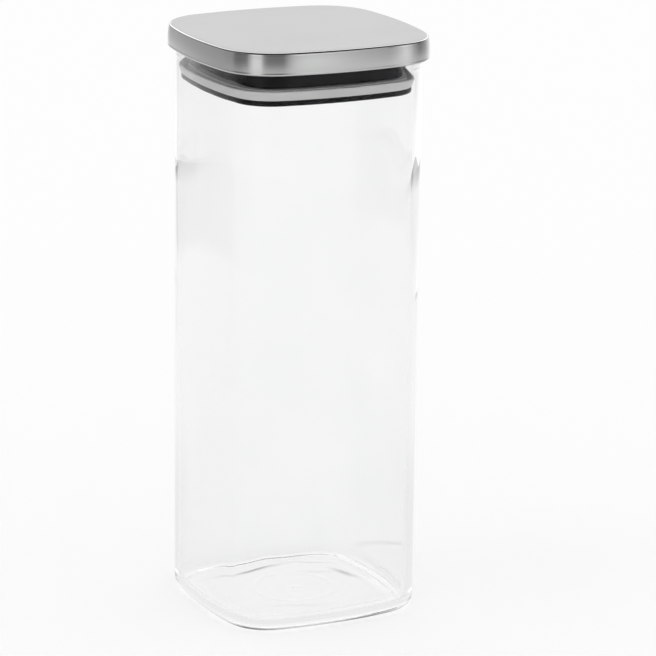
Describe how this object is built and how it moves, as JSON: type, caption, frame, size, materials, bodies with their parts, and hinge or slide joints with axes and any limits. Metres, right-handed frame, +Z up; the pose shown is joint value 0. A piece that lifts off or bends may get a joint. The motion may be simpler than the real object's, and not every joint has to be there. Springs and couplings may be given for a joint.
{
  "type": "lidded glass canister",
  "caption": "Tall square glass canister with rounded corners, and a push-fit steel-capped lid sealed by a grey silicone ring.",
  "frame": {"origin": "centre of the foot, on the surface the jar stands on", "axes": "+Z up along the jar; X and Y square to its four sides"},
  "size_m": [0.1068, 0.1068, 0.2724],
  "materials": {
    "jar_glass": "clear polished glass",
    "cap_steel": "fine satin brush",
    "pad_foam": "closed-cell adhesive foam",
    "core_moulding": "glossy black",
    "seal_silicone": "matte light grey silicone",
    "plate_moulding": "glossy black",
    "screw_steel": "zinc plated",
    "plug_silicone": "matte black silicone"
  },
  "bodies": {
    "jar": {"glass_jar": "jar_glass"},
    "lid": {"lid_cap": "cap_steel", "adhesive_pad": "pad_foam", "lid_core": "core_moulding", "seal_ring": "seal_silicone", "retainer_plate": "plate_moulding", "retainer_screw_1": "screw_steel", "retainer_screw_2": "screw_steel", "retainer_screw_3": "screw_steel", "retainer_screw_4": "screw_steel", "screw_plug_1": "plug_silicone", "screw_plug_2": "plug_silicone", "screw_plug_3": "plug_silicone", "screw_plug_4": "plug_silicone"}
  },
  "joints": [
    {"name": "lid_lift", "type": "slide", "parent": "jar", "child": "lid", "axis": [0, 0, 1], "range_m": [0, 0.08]}
  ]
}
